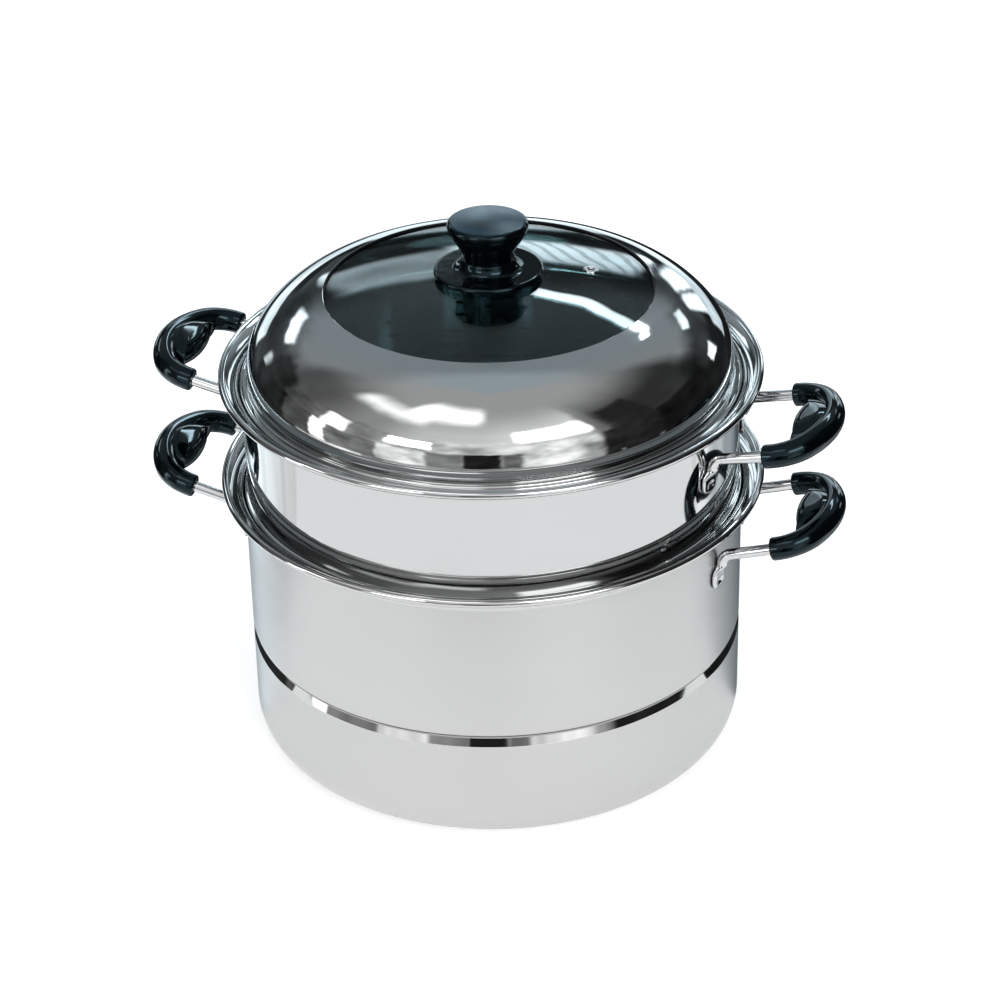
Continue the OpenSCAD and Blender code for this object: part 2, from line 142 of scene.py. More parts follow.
def spinPiece(name, loop, material, closed=True, steps=around, sharpAngle=38):
    # a loop of (radius, height) points turned round the upright axis
    points, rings = [], []
    for r, z in loop:
        if r < 1e-4:
            rings.append([len(points)] * steps)
            points.append((0, 0, z))
            continue
        rings.append(list(range(len(points), len(points) + steps)))
        for i in range(steps):
            a = 2 * math.pi * i / steps
            points.append((r * math.cos(a), r * math.sin(a), z))
    faces = []
    pairs = list(zip(rings, rings[1:])) + ([(rings[-1], rings[0])] if closed else [])
    for low, high in pairs:
        for i in range(steps):
            j = (i + 1) % steps
            face = [low[i], low[j], high[j], high[i]]
            face = [v for k, v in enumerate(face) if v not in face[:k]]
            if len(face) > 2:
                faces.append(face)
    return meshPiece(name, points, faces, material, sharpAngle)


def loftPiece(name, rings, material, sharpAngle=38, looped=False):
    # rings with the same number of points; the two ends are capped unless they meet
    count = len(rings[0])
    points = [p for ring in rings for p in ring]
    faces = []
    last = len(rings) if looped else len(rings) - 1
    for k in range(last):
        low, high = k * count, (k + 1) % len(rings) * count
        for i in range(count):
            j = (i + 1) % count
            faces.append((low + i, low + j, high + j, high + i))
    if not looped:
        faces.append(tuple(range(count)))
        faces.append(tuple((len(rings) - 1) * count + i for i in range(count)))
    return meshPiece(name, points, faces, material, sharpAngle)


def dress(piece, body, slot, *stoodFor):
    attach(piece, body)
    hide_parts(*stoodFor)


print("materials")

steelTone, satinTone = "#c3c4c4", "#c5c5c5"
# heights on the pot's wall, and the half width of the painted crease shade where it is full and
# gone
buffed = {"bandFrom": 72.7, "bandTo": 80.6, "rimFrom": 171.2,
          "creaseShade": 80.6, "creaseShadeCore": 0.3, "creaseShadeFade": 0.6}
# how far under the knob's top the painted sheen on the crown begins and is full
crownSheen = {"begins": 1.7, "full": 1.1}


def bendLight(tree, shader, place, wave, strength, depth=0.3):
    # slow waves that pressing and moulding leave, wave and depth in millimetres
    noise = addNode(tree, "TexNoise", {"Scale": perMetre(wave), "Detail": 2}, {"Vector": place})
    bump = addNode(tree, "Bump", {"Strength": strength, "Distance": depth * mm},
                   {"Height": noise.outputs[0]})
    tree.links.new(bump.outputs[0], shader.inputs["Normal"])


def polishedSteel(name, wave, roughness=0.05):
    # pressed 18/8 sheet, buffed: a mirror that bends what it shows a little
    material, tree, shader, place = newSurface(name, {
        "Base Color": hexToLinear(steelTone), "Metallic": 1, "Roughness": roughness})
    # buffing haze in soft patches about 4 cm wide, with finer mottling
    cloud = addNode(tree, "TexNoise", {"Scale": perMetre(38.46), "Detail": 5}, {"Vector": place})
    spread = addNode(tree, "MapRange", {"From Min": 0.3, "From Max": 0.7,
                                        "To Min": roughness * 0.6, "To Max": roughness * 1.5},
                     {"Value": cloud.outputs[0]})
    tree.links.new(spread.outputs[0], shader.inputs["Roughness"])
    bendLight(tree, shader, place, wave, 0.3)
    return material


def satinSteel(name):
    # the pot's body: the same sheet, brushed to a soft sheen between polished bands
    material, tree, shader, place = newSurface(name, {
        "Base Color": hexToLinear(satinTone), "Metallic": 1, "Roughness": 0.36})
    split = addNode(tree, "SeparateXYZ", links={0: place})
    height = split.outputs[2]
    # brush lines run round the wall, 0.1 mm apart on the real one and drawn coarser to show
    grain = addNode(tree, "TexNoise", {"noise_dimensions": "1D", "Scale": perMetre(0.7143),
                                       "Detail": 2}, {"W": height})
    # uneven pressure of the brush: patches 11 cm long and 3 cm high
    stretch = addNode(tree, "Mapping", {
        "Scale": [perMetre(size) for size in (111.1, 111.1, 33.33)]}, {"Vector": place})
    cloud = addNode(tree, "TexNoise", {"Scale": 1, "Detail": 4}, {"Vector": stretch.outputs[0]})
    mixed = addNode(tree, "Math", {"operation": "MULTIPLY_ADD", 1: 0.3},
                    {0: grain.outputs[0], 2: cloud.outputs[0]})
    satin = addNode(tree, "MapRange", {"From Min": 0.35, "From Max": 0.95,
                                       "To Min": 0.31, "To Max": 0.42},
                    {"Value": mixed.outputs[0]})
    # polished where the rim and the pressed band were buffed
    bandLow = addNode(tree, "Math", {"operation": "GREATER_THAN", 1: buffed["bandFrom"] * mm},
                      {0: height})
    bandHigh = addNode(tree, "Math", {"operation": "LESS_THAN", 1: buffed["bandTo"] * mm},
                       {0: height})
    rim = addNode(tree, "Math", {"operation": "GREATER_THAN", 1: buffed["rimFrom"] * mm},
                  {0: height})
    band = addNode(tree, "Math", {"operation": "MULTIPLY"},
                   {0: bandLow.outputs[0], 1: bandHigh.outputs[0]})
    shiny = addNode(tree, "Math", {"operation": "ADD", "use_clamp": True},
                    {0: band.outputs[0], 1: rim.outputs[0]})
    rough = addNode(tree, "Mix", {3: 0.05}, {0: shiny.outputs[0], 2: satin.outputs[0]})
    tree.links.new(rough.outputs[0], shader.inputs["Roughness"])
    # a thin dark line of painted shade lies in the eased edge over the band, where the crease falls
    # into shadow
    away = addNode(tree, "Math", {"operation": "SUBTRACT", 1: buffed["creaseShade"] * mm}, {0: height})
    away = addNode(tree, "Math", {"operation": "ABSOLUTE"}, {0: away.outputs[0]})
    creaseShade = addNode(tree, "MapRange", {"From Min": buffed["creaseShadeCore"] * mm,
                                       "From Max": buffed["creaseShadeFade"] * mm,
                                       "To Min": 0.85, "To Max": 0}, {"Value": away.outputs[0]})
    # along that line the wall's colour darkens to the painted crease shade
    tone = addNode(tree, "Mix", {"data_type": "RGBA", 6: hexToLinear(satinTone),
                                 7: hexToLinear("#191b1d")}, {0: creaseShade.outputs[0]})
    tree.links.new(tone.outputs[2], shader.inputs["Base Color"])
    bendLight(tree, shader, place, 71.43, 0.2)
    return material


def paintedCrownSheen(tree, place, top, tone, gloss):
    # the knob's crown gets a painted cold slate sheen in its colour, and a rougher gloss
    height = addNode(tree, "SeparateXYZ", links={0: place}).outputs[2]
    crown = addNode(tree, "MapRange", {
        "interpolation_type": "SMOOTHSTEP", "From Min": (top - crownSheen["begins"]) * mm,
        "From Max": (top - crownSheen["full"]) * mm}, {"Value": height})
    # darker streaks break up the painted sheen; they are about 45 mm long and 7 mm wide and run
    # slantwise over it
    slanted = addNode(tree, "Mapping", {
        "Rotation": (0, 0, 0.75), "Scale": [perMetre(size) for size in (45.45, 6.667, 1000)]},
                      {"Vector": place})
    sheenStreaks = addNode(tree, "TexNoise", {"Scale": 1, "Detail": 2}, {"Vector": slanted.outputs[0]})
    sheenBreaks = addNode(tree, "MapRange", {"From Min": 0.5, "From Max": 0.62, "To Min": 1,
                                       "To Max": 0.45}, {"Value": sheenStreaks.outputs[0]})
    share = addNode(tree, "Math", {"operation": "MULTIPLY"},
                    {0: crown.outputs[0], 1: sheenBreaks.outputs[0]})
    sheened = addNode(tree, "Mix", {"data_type": "RGBA", 7: hexToLinear("#16303f")},
                   {0: share.outputs[0], 6: tone})
    dull = addNode(tree, "Mix", {3: 0.22}, {0: crown.outputs[0], 2: gloss})
    return sheened.outputs[2], dull.outputs[0]


def phenolic(name, sheenTop=None):
    # phenolic resin, hot moulded and tumbled: deep black with a faint cold cast
    material, tree, shader, place = newSurface(name, {
        "Base Color": hexToLinear("#06090b"), "Roughness": 0.1, "IOR": 1.55,
        "Specular IOR Level": 0.4, "Specular Tint": (0.6, 0.88, 1, 1)})
    # tumbling leaves the skin faintly cloudy, in patches about 4 mm wide
    cloud = addNode(tree, "TexNoise", {"Scale": perMetre(3.846), "Detail": 3}, {"Vector": place})
    tone = addNode(tree, "Mix", {"data_type": "RGBA", 6: hexToLinear("#020303"),
                                 7: hexToLinear("#040b0f")}, {0: cloud.outputs[0]}).outputs[2]
    gloss = addNode(tree, "MapRange", {"To Min": 0.04, "To Max": 0.1},
                    {"Value": cloud.outputs[0]}).outputs[0]
    # with a top height, the crown gets a painted sheen
    if sheenTop is not None:
        tone, gloss = paintedCrownSheen(tree, place, sheenTop, tone, gloss)
    tree.links.new(tone, shader.inputs["Base Color"])
    tree.links.new(gloss, shader.inputs["Roughness"])
    bendLight(tree, shader, place, 11.11, 0.1)
    return material


def rodSteel(name):
    # drawn wire, barrel polished to a bright shine, uneven every 3 mm or so
    material, tree, shader, place = newSurface(name, {
        "Base Color": hexToLinear("#c9cacb"), "Metallic": 1, "Roughness": 0.08})
    cloud = addNode(tree, "TexNoise", {"Scale": perMetre(3.125), "Detail": 4}, {"Vector": place})
    spread = addNode(tree, "MapRange", {"To Min": 0.03, "To Max": 0.15},
                     {"Value": cloud.outputs[0]})
    tree.links.new(spread.outputs[0], shader.inputs["Roughness"])
    bendLight(tree, shader, place, 8.333, 0.15)
    return material


def windowGlass(name):
    # tempered soda lime: a cold grey green tint through 4 mm
    material, tree, shader, place = newSurface(name, {
        "Base Color": hexToLinear("#a3bdc0"), "Roughness": 0.01, "IOR": 1.52,
        "Transmission Weight": 1})
    bendLight(tree, shader, place, 111.1, 0.1, 0.4)
    return material


def rubber(name, low, high, roughness):
    # moulded silicone, matt with a dusty bloom, finer than a millimetre and drawn at 2.5
    material, tree, shader, place = newSurface(name, {"Roughness": roughness, "IOR": 1.41})
    cloud = addNode(tree, "TexNoise", {"Scale": perMetre(2.5), "Detail": 4}, {"Vector": place})
    tone = addNode(tree, "Mix", {"data_type": "RGBA", 6: hexToLinear(low),
                                 7: hexToLinear(high)}, {0: cloud.outputs[0]})
    tree.links.new(tone.outputs[2], shader.inputs["Base Color"])
    return material


def brass(name):
    # a turned brass insert, bright with tool rings 0.4 mm apart
    material, tree, shader, place = newSurface(name, {
        "Base Color": hexToLinear("#d8b46a"), "Metallic": 1, "Roughness": 0.25})
    split = addNode(tree, "SeparateXYZ", links={0: place})
    rings = addNode(tree, "TexNoise", {"noise_dimensions": "1D", "Scale": perMetre(0.4)},
                    {"W": split.outputs[2]})
    spread = addNode(tree, "MapRange", {"To Min": 0.18, "To Max": 0.34},
                     {"Value": rings.outputs[0]})
    tree.links.new(spread.outputs[0], shader.inputs["Roughness"])
    return material


potSteel = satinSteel("stainlessBrushedSatin")
tierSteel = polishedSteel("stainlessBuffedTier", 62.5)
lidSteel = polishedSteel("stainlessBuffedLid", 55.56, 0.04)
plateSteel = polishedSteel("stainlessPunchedPlate", 33.33, 0.12)
wireSteel = rodSteel("stainlessDrawnWire")
blackResin = phenolic("phenolicMouldedBlack")
clearGlass = windowGlass("temperedGlassTinted")
sealRubber = rubber("siliconeMouldedDark", "#101315", "#1b1f22", 0.5)
padRubber = rubber("siliconeMouldedGrey", "#3a3d40", "#4a4e52", 0.55)
insertBrass = brass("brassTurned")


print("pot and tier")

sheet = 0.8
rim = {"flare": 14, "sweep": 79, "curl": 2.5, "proud": 0.7, "curlFrom": -175, "curlTo": 165}
rimTop = rim["flare"] + sheet
rimReach = rimTop - rim["curl"] + rim["proud"]
rimRise = rimReach * math.sin(math.radians(rim["sweep"])) + rim["curl"]


def rimRun(wall, neck):
    # from the wall's outside up under the flare, round the curl, and back inside
    flareX = wall + rim["flare"]
    sweep = math.radians(rim["sweep"])
    curlX, curlZ = flareX - rimReach * math.cos(sweep), neck + rimReach * math.sin(sweep)
    crease = math.acos((rimTop ** 2 + rimReach ** 2 - rim["curl"] ** 2) / (2 * rimTop * rimReach))
    creaseAt = 180 - rim["sweep"] + math.degrees(crease)
    meet = (flareX + rimTop * math.cos(math.radians(creaseAt)),
            neck + rimTop * math.sin(math.radians(creaseAt)))
    meetAt = math.degrees(math.atan2(meet[1] - curlZ, meet[0] - curlX))
    return chain(
        arc(flareX, neck, rim["flare"], 180, creaseAt + 0.5, 4),
        arc(curlX, curlZ, rim["curl"] - sheet, rim["curlTo"], rim["curlFrom"], 15),
        arc(curlX, curlZ, rim["curl"], rim["curlFrom"], meetAt, 9),
        arc(flareX, neck, rimTop, creaseAt, 180, 4))


pot = {"wall": 159.2, "corner": 24, "stepZ": 73, "stepIn": 1.7, "band": 5.4, "ease": 4.1,
       # the eased edge: share of stepIn left, share of ease climbed
       "easeRun": [(0.62, 0.28), (0.35, 0.5), (0.12, 0.78), (0, 1)]}
potNeck = topOf("pot_shell") - rimRise


def stepRun(wall, upward=True):
    waist = pot["stepZ"] + pot["band"]
    run = chain(straight((wall, pot["stepZ"]), (wall - pot["stepIn"], waist), 0.3),
                [(wall - pot["stepIn"] * 0.93, waist + 0.25)],
                [(wall - pot["stepIn"] * deep, waist + pot["ease"] * climb)
                 for deep, climb in pot["easeRun"]])
    return run if upward else run[::-1]


def potLoop():
    wall, corner = pot["wall"], pot["corner"]
    top = pot["stepZ"] + pot["band"] + pot["ease"]
    centre = wall - corner
    return chain(
        [(0, 0)], straight((4, 0), (centre, 0)),
        arc(centre, corner, corner, -90, 0, 3),
        straight((wall, corner), (wall, pot["stepZ"])),
        stepRun(wall),
        straight((wall, top), (wall, potNeck)),
        rimRun(wall, potNeck),
        straight((wall - sheet, potNeck), (wall - sheet, top)),
        stepRun(wall - sheet, False),
        straight((wall - sheet, pot["stepZ"]), (wall - sheet, corner)),
        arc(centre, corner, corner - sheet, 0, -90, 3),
        straight((centre, sheet), (4, sheet)), [(0, sheet)])


dress(spinPiece("pot_body", potLoop(), potSteel, closed=False, sharpAngle=28),
      "pot", "steel_satin", "pot_shell")

tier = {"wall": 157.2, "drop": 32.6, "ridge": 2, "corner": 8, "ledge": 9}
tierNeck = topOf("tier_wall") - rimRise
tierFoot = bottomOf("tier_wall")
tierSeat = tierFoot + tier["drop"]


def tierLoop():
    wall, corner, ridge = tier["wall"], tier["corner"], tier["ridge"]
    centre, inner = wall - corner, wall - sheet
    return chain(
        straight((centre - tier["ledge"], tierFoot), (centre, tierFoot)),
        arc(centre, tierFoot + corner, corner, -90, 0, 5),
        straight((wall, tierFoot + corner), (wall, tierSeat - ridge - 0.6)),
        [(wall + 0.15, tierSeat - ridge - 0.15)],
        arc(wall, tierSeat, ridge, -72, 72, 10),
        [(wall + 0.15, tierSeat + ridge + 0.15)],
        straight((wall, tierSeat + ridge + 0.6), (wall, tierNeck)),
        rimRun(wall, tierNeck),
        straight((inner, tierNeck), (inner, tierSeat + ridge)),
        arc(wall, tierSeat, ridge - sheet, 72, -72, 15),
        straight((inner, tierSeat - ridge), (inner, tierFoot + corner)),
        arc(centre, tierFoot + corner, corner - sheet, 0, -90, 5),
        straight((centre, tierFoot + sheet), (centre - tier["ledge"], tierFoot + sheet)))


dress(spinPiece("tier_body", tierLoop(), tierSteel, sharpAngle=28),
      "tier", "steel_polished", "tier_wall")


print("lid")

lid = {"bead": 1.1, "beadX": 156.9, "flangeW": 3.7, "band": 8.4, "bandIn": 0.6,
       "crease": 0.8, "shoulder": 40, "sweep": 39, "fillet": 1.6}
glass = {"window": 103, "thick": 4, "sphere": 457, "hold": 2.6, "past": 0.6,
         "seal": 0.8, "sealShow": 1.4, "hole": 3.5}
lidFoot = bottomOf("lid_dome") + lid["bead"]
lidWall = lid["beadX"] - lid["flangeW"]
flangeZ = lidFoot + lid["bead"] - sheet
domeZ = flangeZ + lid["band"]
creaseZ = domeZ - 2 * lid["crease"]
glassCentre = topOf("lid_glass") - math.sqrt(glass["sphere"] ** 2 - glass["hole"] ** 2)
lipX = glass["window"] + glass["hold"] + glass["seal"] + sheet
lipSphere = glass["sphere"] + glass["seal"] + sheet


def domeHeight(sphere, x):
    return glassCentre + math.sqrt(sphere ** 2 - x ** 2)


def domeRun(sphere, start, end, parts=5):
    # along a sphere round the glass's centre
    spots = [start + (end - start) * i / parts for i in range(parts + 1)]
    return [(x, domeHeight(sphere, x)) for x in spots]


def lidLoop():
    wall, bandX = lidWall, lidWall - lid["bandIn"]
    cos, sin = (f(math.radians(lid["sweep"])) for f in (math.cos, math.sin))
    shoulderX = wall - lid["shoulder"]
    crownEnd = math.degrees(math.acos(lipX / lipSphere))
    crown = (shoulderX + lid["shoulder"] * cos - lipX) / (cos - lipX / lipSphere)
    crownX = shoulderX + (lid["shoulder"] - crown) * cos
    crownZ = domeZ + (lid["shoulder"] - crown) * sin
    filletX, filletZ = bandX + lid["fillet"], flangeZ + sheet + lid["fillet"]
    sealX = lipX - sheet
    lowSphere = glass["sphere"] - glass["thick"] - glass["seal"]
    nose = glass["window"]
    return chain(
        domeRun(lipSphere, nose + 0.3, lipX, 4),
        arc(crownX, crownZ, crown, crownEnd, lid["sweep"], 1.5),
        arc(shoulderX, domeZ, lid["shoulder"], lid["sweep"], 0, 1.5),
        [(wall, creaseZ + lid["crease"] + 0.25), (wall - 0.12, creaseZ + lid["crease"]),
         (bandX + 0.1, creaseZ), (bandX, creaseZ - 0.3)],
        straight((bandX, creaseZ - 0.6), (bandX, filletZ)),
        arc(filletX, filletZ, lid["fillet"], 180, 270, 12),
        [(lid["beadX"] - lid["bead"] * 0.9, flangeZ + sheet)],
        arc(lid["beadX"], lidFoot, lid["bead"], 125, -150, 14),
        [(lid["beadX"] - lid["bead"], flangeZ), (filletX, flangeZ)],
        arc(filletX, filletZ, lid["fillet"] + sheet, 270, 180, 12),
        straight((bandX - sheet, filletZ), (bandX - sheet, creaseZ)),
        [(wall - sheet, creaseZ + lid["crease"])],
        arc(shoulderX, domeZ, lid["shoulder"] - sheet, 0, lid["sweep"], 3),
        arc(crownX, crownZ, crown - sheet, lid["sweep"], crownEnd - 0.6, 3),
        [(lipX, domeHeight(lowSphere - sheet, lipX))],
        domeRun(lowSphere - sheet, lipX, nose + glass["past"], 3),
        domeRun(lowSphere, nose + glass["past"], sealX, 3),
        domeRun(lipSphere - sheet, sealX, nose + 0.3, 3),
        # the cut edge of the lip, rounded over
        [(nose + 0.05, domeHeight(lipSphere - sheet * 0.75, nose)),
         (nose, domeHeight(lipSphere - sheet * 0.5, nose)),
         (nose + 0.05, domeHeight(lipSphere - sheet * 0.25, nose))])


dress(spinPiece("lid_shell", lidLoop(), lidSteel, sharpAngle=28, steps=320),
      "lid", "steel_polished", "lid_dome")


def glassLoop():
    edge = glass["window"] + glass["hold"]
    low = glass["sphere"] - glass["thick"]
    return chain(domeRun(glass["sphere"], glass["hole"], edge - 0.5, 40),
                 [(edge, domeHeight(glass["sphere"], edge) - 0.5),
                  (edge, domeHeight(low, edge) + 0.5)],
                 domeRun(low, edge - 0.5, glass["hole"], 40))


dress(spinPiece("lid_window", glassLoop(), clearGlass), "lid", "window_glass", "lid_glass")


def sealLoop():
    edge = glass["window"] + glass["hold"]
    inner = glass["window"] + glass["past"] - glass["sealShow"]
    high, low = glass["sphere"], glass["sphere"] - glass["thick"]
    return chain(domeRun(high + glass["seal"], inner, edge + glass["seal"], 3),
                 domeRun(low - glass["seal"], edge + glass["seal"], inner + glass["sealShow"], 3),
                 domeRun(low, inner + glass["sealShow"], edge, 3),
                 domeRun(high, edge, inner, 3))


dress(spinPiece("window_seal", sealLoop(), sealRubber), "lid", "silicone_grey", "glass_seal")


# rolled steel eyelet of the steam vent, set in the glass
vent = {"out": 64.3, "azimuth": 22.9, "radius": 5, "hole": 2, "rise": 1.3, "sunk": 0.6}


def ventPiece(name, steps=48):
    # the loop of the ring in its own frame, then laid on the sloping glass
    rise, mid = vent["rise"], (vent["radius"] + vent["hole"]) / 2
    half = (vent["radius"] - vent["hole"]) / 2
    loop = arc(mid, 0, half, 0, 180, 12)
    loop = [(x, z * rise / half) for x, z in loop]
    loop += [(vent["hole"], -vent["sunk"]), (vent["radius"], -vent["sunk"])]
    lean = math.asin(vent["out"] / glass["sphere"])
    a = math.radians(vent["azimuth"])
    seat = domeHeight(glass["sphere"], vent["out"])
    rings = []
    for i in range(steps):
        t = 2 * math.pi * i / steps
        ring = []
        for x, z in loop:
            u, v = x * math.cos(t), x * math.sin(t)
            away = vent["out"] + u * math.cos(lean) + z * math.sin(lean)
            up = seat - u * math.sin(lean) + z * math.cos(lean)
            ring.append((away * math.cos(a) - v * math.sin(a),
                         away * math.sin(a) + v * math.cos(a), up))
        rings.append(ring)
    return loftPiece(name, rings, wireSteel, 50, looped=True)


# the solids have no piece of this kind, so it replaces none
eyelet = ventPiece("steam_eyelet")
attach(eyelet, "lid")


print("knob")

knob = {"flange": 68.4, "flangeT": 3.8, "boss": 33.6, "bossCurve": 7.25, "bossToe": 15,
        "pad": 1.4, "head": 50.4, "neck": 30.6, "edge": 2.8, "crown": 1.2, "bore": 4.5,
        "boreH": 11,
        # out from the neck, up from the boss
        "taper": [(0.15, 1.6), (0.7, 3.4), (1.9, 5.8), (3.7, 8.8), (5.7, 11.8), (7.5, 14.6),
                  (8.8, 17)]}
knobTop = topOf("knob_head")
bossZ = bottomOf("knob_head")
screwR = 2.5


def flangeLoop():
    r = knob["flange"] / 2
    sphere = glass["sphere"] + knob["pad"]
    low = domeHeight(sphere, r)
    top, edge, boss = low + knob["flangeT"], knob["flangeT"] / 2, knob["boss"] / 2
    curve, toe = knob["bossCurve"], knob["bossToe"]
    foot = boss + curve - curve * math.sin(math.radians(toe))
    return chain(
        domeRun(sphere, screwR, r - edge, 8),
        arc(r - edge, top - edge, edge, -90, 90, 12),
        straight((r - edge, top), (foot + 0.4, top), 0.5),
        arc(boss + curve, bossZ, curve, 270 - toe, 183, 9),
        [(boss - 0.3, bossZ - 0.05), (boss - 0.6, bossZ)],
        [(screwR, bossZ)])


def headLoop():
    # a shallow crowned top, a rolled edge and a nearly straight taper to the neck
    r, edge, neck = knob["head"] / 2, knob["edge"], knob["neck"] / 2
    edgeZ = knobTop - knob["crown"] - edge
    crown = ((r - edge) ** 2 + knob["crown"] ** 2) / (2 * knob["crown"])
    turn = math.degrees(math.asin((r - edge) / crown))
    return chain(
        [(knob["bore"], bossZ), (neck, bossZ)],
        [(neck + out, bossZ + up) for out, up in knob["taper"]],
        [(r - 0.25, edgeZ - 1.6)],
        arc(r - edge, edgeZ, edge, 0, 90 - turn, 8),
        arc(0, knobTop - crown, crown, 90 - turn, 90, 2),
        [(0, knobTop)])


def headWithBore():
    # the bore for the insert closes the loop from below
    loop = headLoop()
    return [(0, bossZ + knob["boreH"]), (knob["bore"], bossZ + knob["boreH"])] + loop


dress(spinPiece("knob_guard", flangeLoop(), blackResin, steps=128, sharpAngle=40),
      "lid", "phenolic_black", "knob_flange")
# the grip's crown carries a painted cold sheen
dress(spinPiece("knob_grip", headWithBore(), phenolic("phenolicBlackPaintedSheen", knobTop),
                closed=False, steps=128, sharpAngle=40),
      "lid", "phenolic_black", "knob_head")


print("handles")

rod = {"radius": 3.5, "span": 84, "drop": 10.2, "bend": 7, "padW": 16,
       "padH": 17, "padT": 2.6, "dimple": 1.3, "dimpleR": 4.6, "sides": 28}
grip = {"start": 29.5, "straight": 3, "depth": 30, "corner": 25, "thick": 14.6,
        "innerGrow": 0.8, "rise": 0.9, "chamfer": 1.2, "leafR": 27.4, "leafBack": 1,
        "leafStart": 10, "leafEdge": 62, "leafT": 17.4, "leafMid": 11, "leafFull": 3.4,
        "leafThin": 0.25}
potMount = {"wall": pot["wall"], "neck": potNeck, "tilt": 15, "turn": 0}
tierMount = {"wall": tier["wall"], "neck": tierNeck, "tilt": 12, "turn": -3.7}
armY = rod["span"] / 2
bendS = grip["start"] + grip["straight"]
# the grip's middle line: two corner arcs, joined by one wide arc
cornerY = armY - grip["corner"]
depthLeft = grip["depth"] - grip["corner"]
midBack = (cornerY ** 2 - depthLeft ** 2) / (2 * depthLeft)
midR = grip["depth"] + midBack
midSweep = math.degrees(math.atan2(cornerY, midBack))


def tilted(mount, s, y, h=0):
    # from the right handle's own tilted plane to the upright frame
    slope = math.radians(mount["tilt"])
    return Vector((mount["wall"] + s * math.cos(slope) - h * math.sin(slope), y,
                   mount["neck"] - rod["drop"] + s * math.sin(slope) + h * math.cos(slope)))


def turned(mount, side, p):
    # the right handle's point, set round the body or across to the left side
    a = math.radians(mount["turn"])
    return (side * (p.x * math.cos(a) - p.y * math.sin(a)),
            side * (p.x * math.sin(a) + p.y * math.cos(a)), p.z)


def rodRings(mount, hand):
    # one foot, bend, arm and half of the bar; hand is the sign of y
    wall, tilt = mount["wall"], math.radians(mount["tilt"])
    rodX = math.sqrt((wall + rod["radius"]) ** 2 - armY ** 2)
    bendX = rodX + rod["bend"]
    armZ = mount["neck"] - rod["drop"] + (bendX - wall) * math.tan(tilt)
    bendZ = armZ - rod["bend"] / math.cos(tilt)
    turn = math.asin(armY / (wall + rod["radius"]))
    outward = Vector((math.cos(turn), hand * math.sin(turn), 0))
    sideways = Vector((-math.sin(turn), hand * math.cos(turn), 0))
    padTop = bendZ - rod["radius"] / 2
    padLow = padTop - rod["padH"]
    half, thin = rod["padW"] / 2, rod["padT"] / 2
    padMid = padTop - rod["padH"] / 2 - half / 3
    rings = []

    def ring(centre, wide, high, a, b, power, pad=0):
        points = []
        for i in range(rod["sides"]):
            t = 2 * math.pi * i / rod["sides"]
            c, s = math.cos(t), math.sin(t)
            u = a * math.copysign(abs(c) ** (2 / power), c)
            v = b * math.copysign(abs(s) ** (2 / power), s)
            if pad and v > 0:
                d = math.hypot(u, centre.z - padMid) / rod["dimpleR"]
                v -= rod["dimple"] * pad * max(0, 1 - d * d) ** 2
            p = centre + wide * u + high * v
            reach = math.hypot(p.x, p.y)
            if pad and reach < wall + 0.02:
                p.x, p.y = p.x * (wall + 0.02) / reach, p.y * (wall + 0.02) / reach
            points.append(p)
        return points

    steps = 56
    for k in range(steps + 1):
        z = padLow + 0.04 + (bendZ - padLow) * k / steps
        flat = 1 - smoothStep((z - (bendZ - 7)) / 6.5)  # the flat foot rounds up to the rod
        a = rod["radius"] + (half - rod["radius"]) * flat
        b = rod["radius"] + (thin - rod["radius"]) * flat
        if z < padLow + half:  # the foot's round end
            end = math.sqrt(max(0.002, 1 - ((padLow + half - z) / half) ** 2))
            a, b = a * end, b * min(1, 0.35 + end * 0.8)
        centre = Vector((rodX, hand * armY, z)) + outward * (b - rod["radius"])
        rings.append(ring(centre, sideways, outward, a, b, 2 + 1.4 * flat, max(flat, 0.001)))
    for k in range(1, 13):
        a = math.radians(180 - (90 - mount["tilt"]) * k / 12)
        centre = Vector((bendX + rod["bend"] * math.cos(a), hand * armY,
                         bendZ + rod["bend"] * math.sin(a)))
        high = Vector((-math.cos(a), 0, -math.sin(a)))
        wide = sideways.lerp(Vector((0, hand, 0)), smoothStep(k / 6)).normalized()
        wide = (wide - high * wide.dot(high)).normalized()
        rings.append(ring(centre, wide, high, rod["radius"], rod["radius"], 2))
    armFrom = (bendX - wall) / math.cos(tilt) - rod["bend"] * math.tan(tilt)
    spots = [(armFrom + (bendS - armFrom) * t, hand * armY, 90) for t in (0.3, 0.7, 1)]
    spots += [(bendS + grip["corner"] * math.cos(math.radians(d)),
               hand * (cornerY + grip["corner"] * math.sin(math.radians(d))), d)
              for d in range(80, -1, -10)]
    spots.append((bendS + grip["corner"], 0, 0))
    down = tilted(mount, 0, 0, -1) - tilted(mount, 0, 0)
    for s, y, d in spots:
        a = math.radians(d)
        wide = Vector((math.cos(a) * math.cos(tilt), hand * math.sin(a),
                       math.cos(a) * math.sin(tilt)))
        rings.append(ring(tilted(mount, s, y), wide, down, rod["radius"], rod["radius"], 2))
    return rings


def rodPiece(name, mount, side):
    first = rodRings(mount, 1)
    second = rodRings(mount, -1)[::-1][1:]
    # the mirrored half counts its sides the other way round
    half = rod["sides"] // 2
    second = [[r[(half - i) % rod["sides"]] for i in range(rod["sides"])] for r in second]
    rings = [[turned(mount, side, p) for p in r] for r in first + second]
    return loftPiece(name, rings, wireSteel, 60)


def bendPoint(degrees):
    a = math.radians(degrees)
    if abs(degrees) <= midSweep:
        return bendS - midBack + midR * math.cos(a), midR * math.sin(a)
    return (bendS + grip["corner"] * math.cos(a),
            math.copysign(cornerY, degrees) + grip["corner"] * math.sin(a))


